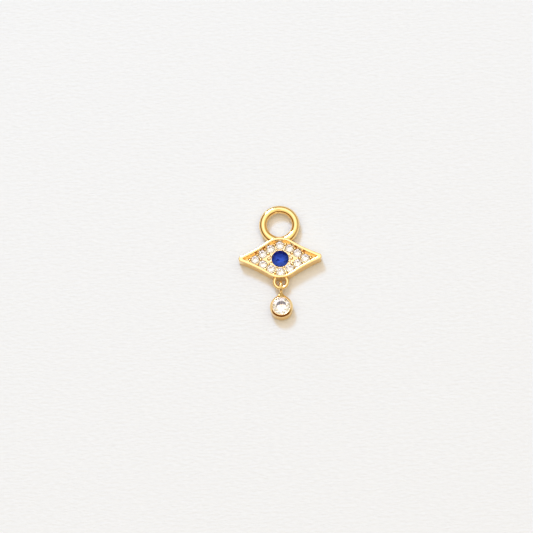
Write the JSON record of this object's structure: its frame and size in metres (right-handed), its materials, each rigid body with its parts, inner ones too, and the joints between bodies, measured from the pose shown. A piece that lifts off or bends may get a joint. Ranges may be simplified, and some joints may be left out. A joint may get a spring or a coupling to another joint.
{
  "type": "evil eye charm",
  "caption": "Gold-plated charm: a pave-set eye with a blue pupil stone under a closed bail ring, with a linked bezel-set stone drop.",
  "frame": {"origin": "middle of the footprint, on the flat back that the charm rests on", "axes": "+X along the eye's long axis, +Y towards the bail ring, +Z out of the stones' face"},
  "size_m": [0.0098, 0.014, 0.0016],
  "materials": {
    "gold": "polished",
    "blue_stone": "polished",
    "white_stone": "polished"
  },
  "bodies": {
    "eye": {"eye_setting": "gold", "bail_ring": "gold", "eye_loop": "gold", "pupil_stone": "blue_stone", "pave_stone_01": "white_stone", "pave_stone_02": "white_stone", "pave_stone_03": "white_stone", "pave_stone_04": "white_stone", "pave_stone_05": "white_stone", "pave_stone_06": "white_stone", "pave_stone_07": "white_stone", "pave_stone_08": "white_stone", "pave_stone_09": "white_stone", "pave_stone_10": "white_stone", "pave_stone_11": "white_stone", "pave_stone_12": "white_stone"},
    "drop": {"drop_loop": "gold", "drop_bezel": "gold", "drop_stone": "white_stone"}
  },
  "joints": [
    {"name": "drop_swing", "type": "hinge", "parent": "eye", "child": "drop", "pos_m": [0, -0.00327, 0.0008], "axis": [-1, 0, 0], "range_deg": [-100, 100]}
  ]
}
